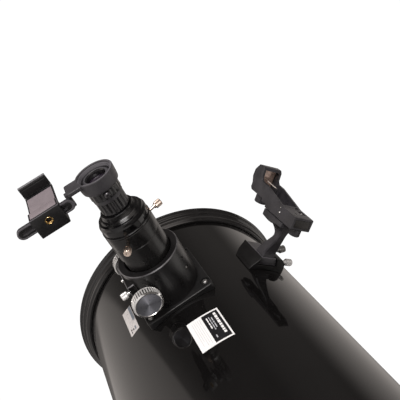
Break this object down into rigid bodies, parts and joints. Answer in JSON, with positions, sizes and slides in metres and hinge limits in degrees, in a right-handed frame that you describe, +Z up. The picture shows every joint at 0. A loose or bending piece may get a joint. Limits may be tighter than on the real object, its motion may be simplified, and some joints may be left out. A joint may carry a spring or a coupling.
{
  "type": "dobsonian telescope",
  "caption": "Solid-tube reflector telescope on a wooden rocker box, with a crayford focuser, an eyepiece with a phone clamp and a red-dot finder.",
  "frame": {"origin": "the azimuth axis at floor level, under the pivot bolt", "axes": "+Z up along the azimuth axis; +Y is where the tube points as stored; the altitude axis runs along X"},
  "size_m": [0.5654, 1.1311, 1.2405],
  "materials": {
    "tube_paint": "high gloss black",
    "rim_metal": "semi-gloss black",
    "satin_alloy": "satin black",
    "black_plastic": "satin black",
    "rubber": "matt black",
    "chrome": "polished",
    "steel": "bright",
    "brass": "polished",
    "mirror": "first-surface aluminised glass",
    "glass": "coated",
    "board": "black laminate on particle board",
    "white_pad": "low-friction plastic",
    "grey_plastic": "grey-brown, semi-gloss"
  },
  "bodies": {
    "base": {"ground_board": "board", "foot_1": "rubber", "foot_2": "rubber", "foot_3": "rubber", "pivot_bolt": "steel", "roller_ring": "white_pad"},
    "rocker": {"rocker_base": "board", "side_panel_left": "board", "side_panel_right": "board", "front_panel": "board", "cradle_liner_left": "white_pad", "cradle_liner_right": "white_pad"},
    "tube": {"optical_tube": "tube_paint", "front_ring": "rim_metal", "rear_ring": "rim_metal", "spider": "satin_alloy", "secondary_holder": "black_plastic", "secondary_mirror": "mirror", "mirror_cell": "satin_alloy", "primary_mirror": "mirror", "altitude_bearing_left": "black_plastic", "altitude_bearing_right": "black_plastic", "focuser_base": "satin_alloy", "base_screw_1": "steel", "base_screw_2": "steel", "base_screw_3": "steel", "base_screw_4": "steel", "focuser_housing": "satin_alloy", "housing_set_screw": "steel", "focus_tension_screw": "steel", "finder_shoe": "black_plastic"},
    "collimation_1": {"collimation_knob_1": "black_plastic"},
    "collimation_2": {"collimation_knob_2": "black_plastic"},
    "collimation_3": {"collimation_knob_3": "black_plastic"},
    "tension_left": {"tension_knob_left": "black_plastic"},
    "tension_right": {"tension_knob_right": "black_plastic"},
    "focus_lock": {"focus_lock_knob": "chrome"},
    "focus_drive": {"focus_shaft": "steel", "focus_knob_rear": "chrome", "focus_knob_front": "chrome"},
    "draw": {"draw_tube": "satin_alloy", "eyepiece_adapter": "satin_alloy"},
    "adapter_screw_1": {"adapter_thumbscrew_1": "brass"},
    "adapter_screw_2": {"adapter_thumbscrew_2": "brass"},
    "eyepiece": {"eyepiece": "rubber", "eyepiece_lens": "glass"},
    "phone_mount": {"phone_ring": "black_plastic", "phone_rail": "black_plastic"},
    "ring_screw": {"ring_set_screw": "steel"},
    "clamp": {"phone_clamp_body": "black_plastic", "thread_insert": "brass"},
    "jaw": {"phone_clamp_jaw": "grey_plastic", "jaw_pad": "rubber"},
    "finder_arm": {"finder_bracket": "black_plastic"},
    "finder_head": {"finder_body": "black_plastic", "finder_lens": "glass"},
    "dial": {"finder_dial": "black_plastic"},
    "adjuster": {"finder_adjuster": "black_plastic"},
    "shoe_screw_1": {"shoe_thumbscrew_1": "steel"},
    "shoe_screw_2": {"shoe_thumbscrew_2": "steel"}
  },
  "joints": [
    {"name": "azimuth", "type": "hinge", "parent": "base", "child": "rocker", "pos_m": [0, 0, 0.0483], "axis": [0, 0, 1], "continuous": true},
    {"name": "altitude", "type": "hinge", "parent": "rocker", "child": "tube", "pos_m": [0, 0, 0.611], "axis": [1, 0, 0], "range_deg": [-40, 50]},
    {"name": "collimation_1_turn", "type": "hinge", "parent": "tube", "child": "collimation_1", "pos_m": [-0.02485, -0.41045, 0.38764], "axis": [0, 0.766, 0.6428], "range_deg": [-360, 360]},
    {"name": "collimation_2_turn", "type": "hinge", "parent": "tube", "child": "collimation_2", "pos_m": [0.09273, -0.33488, 0.29757], "axis": [0, 0.766, 0.6428], "range_deg": [-360, 360]},
    {"name": "collimation_3_turn", "type": "hinge", "parent": "tube", "child": "collimation_3", "pos_m": [-0.06788, -0.30721, 0.2646], "axis": [0, 0.766, 0.6428], "range_deg": [-360, 360]},
    {"name": "altitude_tension_left", "type": "hinge", "parent": "tube", "child": "tension_left", "pos_m": [-0.2, 0, 0.611], "axis": [-1, 0, 0], "range_deg": [-360, 360]},
    {"name": "altitude_tension_right", "type": "hinge", "parent": "tube", "child": "tension_right", "pos_m": [0.2, 0, 0.611], "axis": [1, 0, 0], "range_deg": [-360, 360]},
    {"name": "focus_lock_turn", "type": "hinge", "parent": "tube", "child": "focus_lock", "pos_m": [-0.14439, 0.40109, 1.08269], "axis": [-0.7071, 0.4545, -0.5417], "range_deg": [-180, 180]},
    {"name": "focus", "type": "slide", "parent": "tube", "child": "draw", "axis": [-0.7071, -0.4545, 0.5417], "range_m": [-0.036, 0.004]},
    {"name": "focus_knob_turn", "type": "hinge", "parent": "tube", "child": "focus_drive", "pos_m": [-0.15019, 0.39736, 1.08713], "axis": [0, 0.766, 0.6428], "range_deg": [-95, 830]},
    {"name": "adapter_screw_1_turn", "type": "hinge", "parent": "draw", "child": "adapter_screw_1", "pos_m": [-0.18861, 0.33082, 1.10834], "axis": [-0.2534, -0.5523, -0.7942], "range_deg": [-360, 360]},
    {"name": "adapter_screw_2_turn", "type": "hinge", "parent": "draw", "child": "adapter_screw_2", "pos_m": [-0.15091, 0.34209, 1.167], "axis": [0.689, -0.2705, 0.6724], "range_deg": [-360, 360]},
    {"name": "eyepiece_pull", "type": "slide", "parent": "draw", "child": "eyepiece", "axis": [-0.7071, -0.4545, 0.5417], "range_m": [0, 0.03]},
    {"name": "phone_ring_turn", "type": "hinge", "parent": "eyepiece", "child": "phone_mount", "pos_m": [-0.22486, 0.32309, 1.17564], "axis": [-0.7071, -0.4545, 0.5417], "range_deg": [-180, 180]},
    {"name": "ring_screw_turn", "type": "hinge", "parent": "phone_mount", "child": "ring_screw", "pos_m": [-0.21956, 0.31118, 1.15872], "axis": [0, -0.766, -0.6428], "range_deg": [-360, 360]},
    {"name": "clamp_along_rail", "type": "slide", "parent": "phone_mount", "child": "clamp", "axis": [0.7071, -0.4545, 0.5417], "range_m": [-0.014, 0.006]},
    {"name": "jaw_open", "type": "slide", "parent": "clamp", "child": "jaw", "axis": [0, 0.766, 0.6428], "range_m": [0, 0.035], "stiffness_N_per_m": 150},
    {"name": "finder_in_shoe", "type": "slide", "parent": "tube", "child": "finder_arm", "axis": [0, 0.766, 0.6428], "range_m": [0, 0.03]},
    {"name": "shoe_screw_1_turn", "type": "hinge", "parent": "tube", "child": "shoe_screw_1", "pos_m": [0.0386, 0.3715, 1.13593], "axis": [0.9205, -0.2512, 0.2993], "range_deg": [-360, 360]},
    {"name": "shoe_screw_2_turn", "type": "hinge", "parent": "tube", "child": "shoe_screw_2", "pos_m": [0.04049, 0.36116, 1.11869], "axis": [1, -0.0033, 0.0039], "range_deg": [-360, 360]},
    {"name": "finder_tilt", "type": "hinge", "parent": "finder_arm", "child": "finder_head", "pos_m": [0.00769, 0.31964, 1.16661], "axis": [0.9994, 0.0224, -0.0267], "range_deg": [-1.5, 1.5]},
    {"name": "adjuster_turn", "type": "hinge", "parent": "finder_head", "child": "adjuster", "pos_m": [0.00752, 0.29751, 1.14165], "axis": [0.0349, -0.6424, 0.7656], "range_deg": [-545, 545]},
    {"name": "dial_turn", "type": "hinge", "parent": "finder_head", "child": "dial", "pos_m": [0.00424, 0.35473, 1.19791], "axis": [0.0349, -0.6424, 0.7656], "range_deg": [0, 270]}
  ],
  "couplings": [
    {"joint": "focus_knob_turn", "follows": "focus", "rad_per_m": -400},
    {"joint": "adjuster_turn", "follows": "finder_tilt", "ratio": 360}
  ]
}
